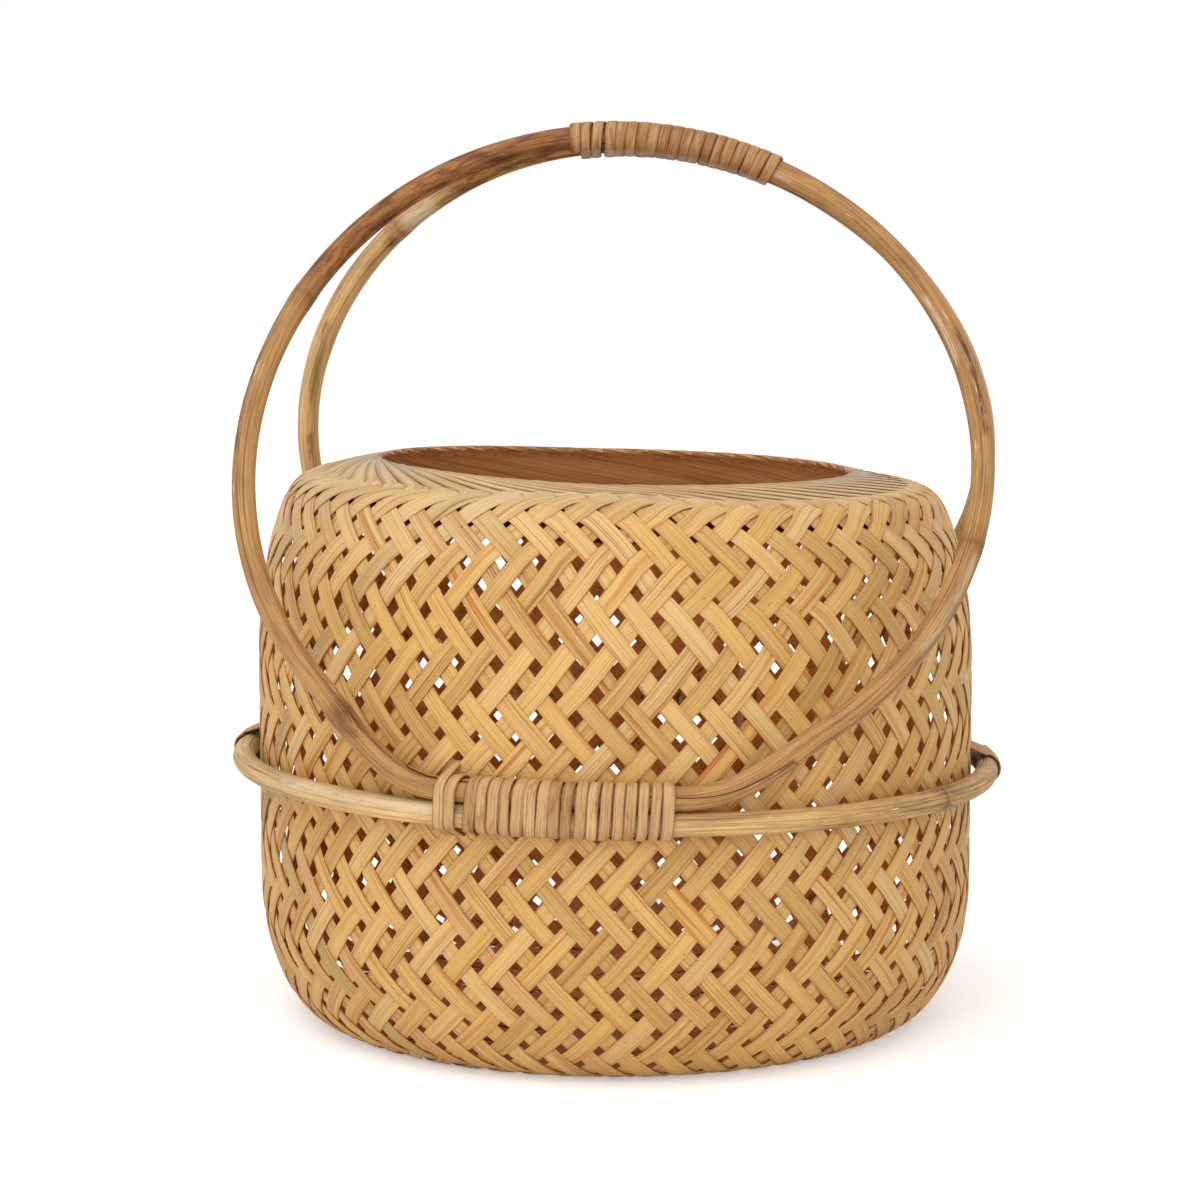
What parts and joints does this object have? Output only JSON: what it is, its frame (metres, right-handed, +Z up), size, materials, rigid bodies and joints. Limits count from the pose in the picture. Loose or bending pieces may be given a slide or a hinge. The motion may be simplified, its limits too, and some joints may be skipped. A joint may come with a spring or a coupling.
{
  "type": "bamboo basket",
  "caption": "Open-weave round bamboo basket with a cane girdle hoop and a standing handle of cane rings bound together at the grip.",
  "frame": {"origin": "middle of the flat base, on the surface that the basket stands on", "axes": "+Z up, -Y towards the front, where the pictured ring is bound to the hoop, +X to the right seen from the front"},
  "size_m": [0.314, 0.3084, 0.3539],
  "materials": {
    "bamboo_strips": "split bamboo, dry and slightly glossy",
    "hoop_cane": "round cane with its skin, satin",
    "ring_cane": "round cane, scraped and browned, satin",
    "split_cane": "flat split cane, dry"
  },
  "bodies": {
    "root": {"woven_body": "bamboo_strips", "girdle_hoop": "hoop_cane", "front_handle_ring": "ring_cane", "rear_handle_ring": "ring_cane", "grip_binding": "split_cane", "front_binding": "split_cane", "rear_binding": "split_cane", "left_lashing": "split_cane", "right_lashing": "split_cane"}
  },
  "joints": []
}
